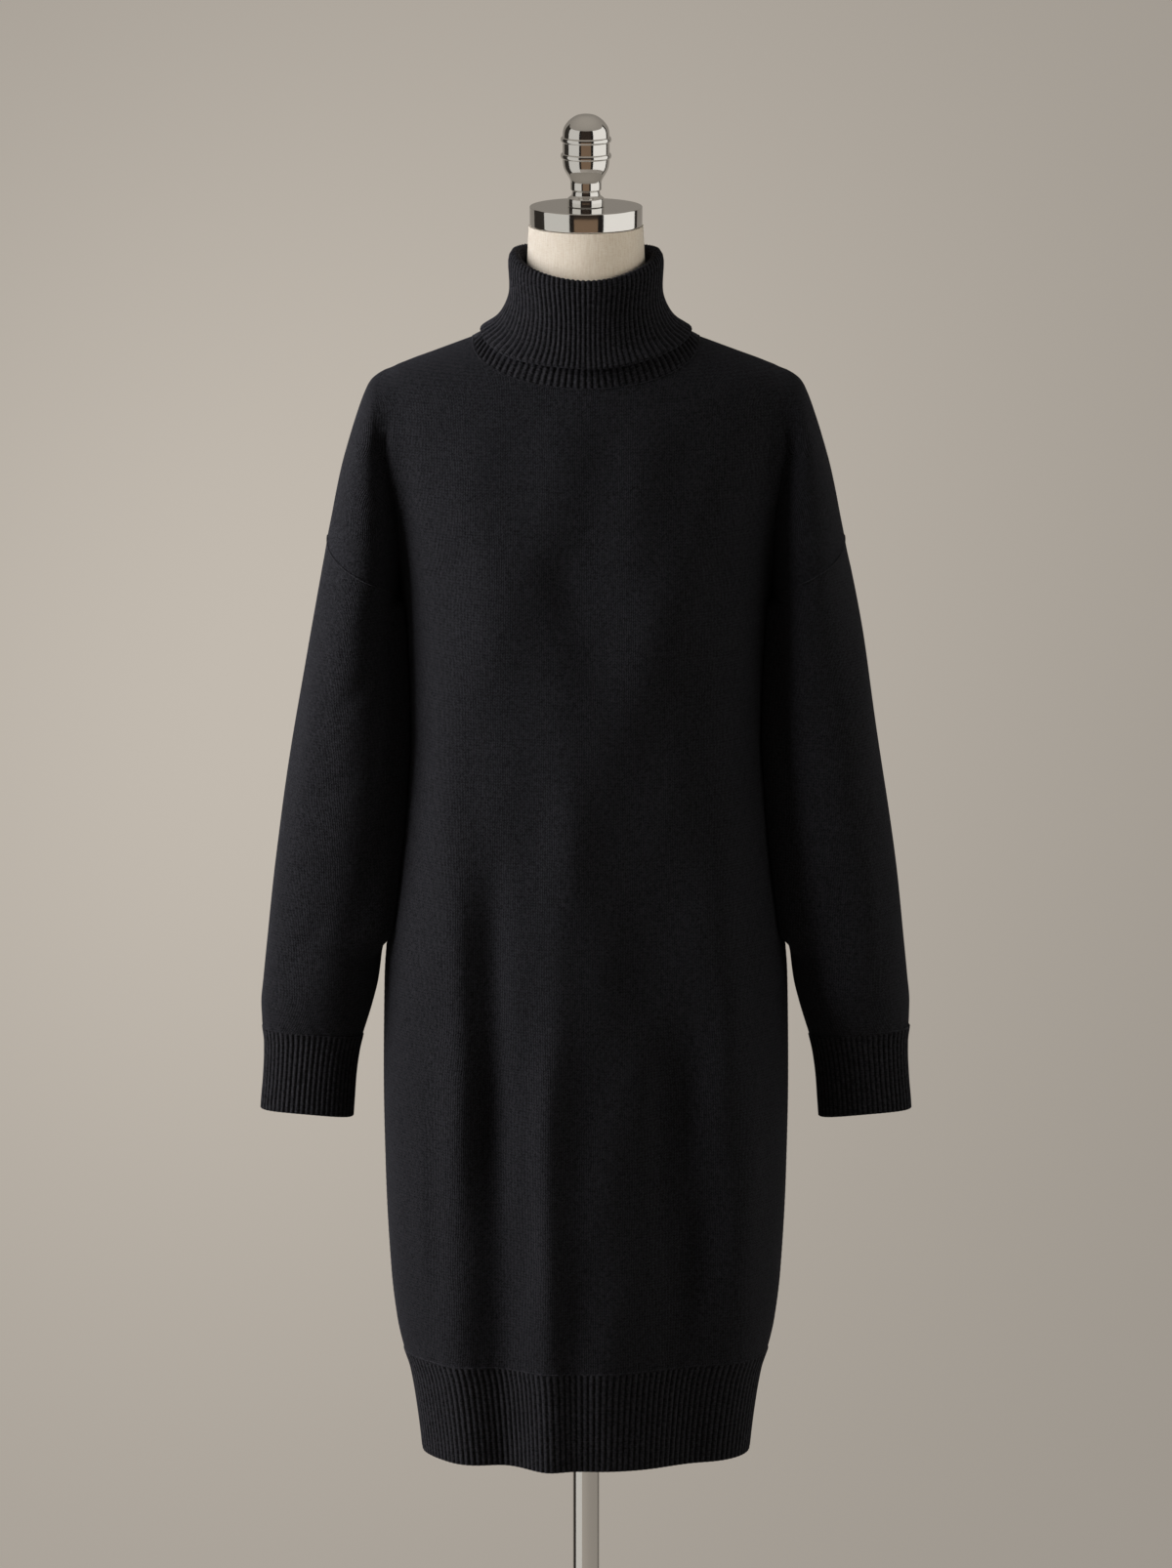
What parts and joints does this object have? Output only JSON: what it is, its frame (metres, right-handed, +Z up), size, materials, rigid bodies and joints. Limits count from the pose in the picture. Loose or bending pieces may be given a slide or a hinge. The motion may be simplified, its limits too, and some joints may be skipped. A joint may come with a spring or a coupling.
{
  "type": "roll-neck sweater dress on a limbless dress form",
  "caption": "Knee-length roll-neck knit dress with dropped shoulders, long sleeves and ribbed edges, worn by a limbless dress form on a round stand.",
  "frame": {"origin": "on the floor, under the middle of the stand's round base", "axes": "+Z up, -Y towards the garment's front, +X towards the wearer's left"},
  "size_m": [0.57, 0.38, 1.6113],
  "materials": {
    "knit": "brushed fine wool jersey",
    "rib_knit": "brushed fine wool rib",
    "linen": "natural linen weave",
    "chrome": "polished"
  },
  "bodies": {
    "root": {"front_panel": "knit", "back_panel": "knit", "left_sleeve": "knit", "right_sleeve": "knit", "left_cuff": "rib_knit", "right_cuff": "rib_knit", "front_hem_rib": "rib_knit", "back_hem_rib": "rib_knit", "roll_collar": "rib_knit", "form_torso": "linen", "neck_cap": "chrome", "finial": "chrome", "pole": "chrome", "base": "chrome"}
  },
  "joints": []
}
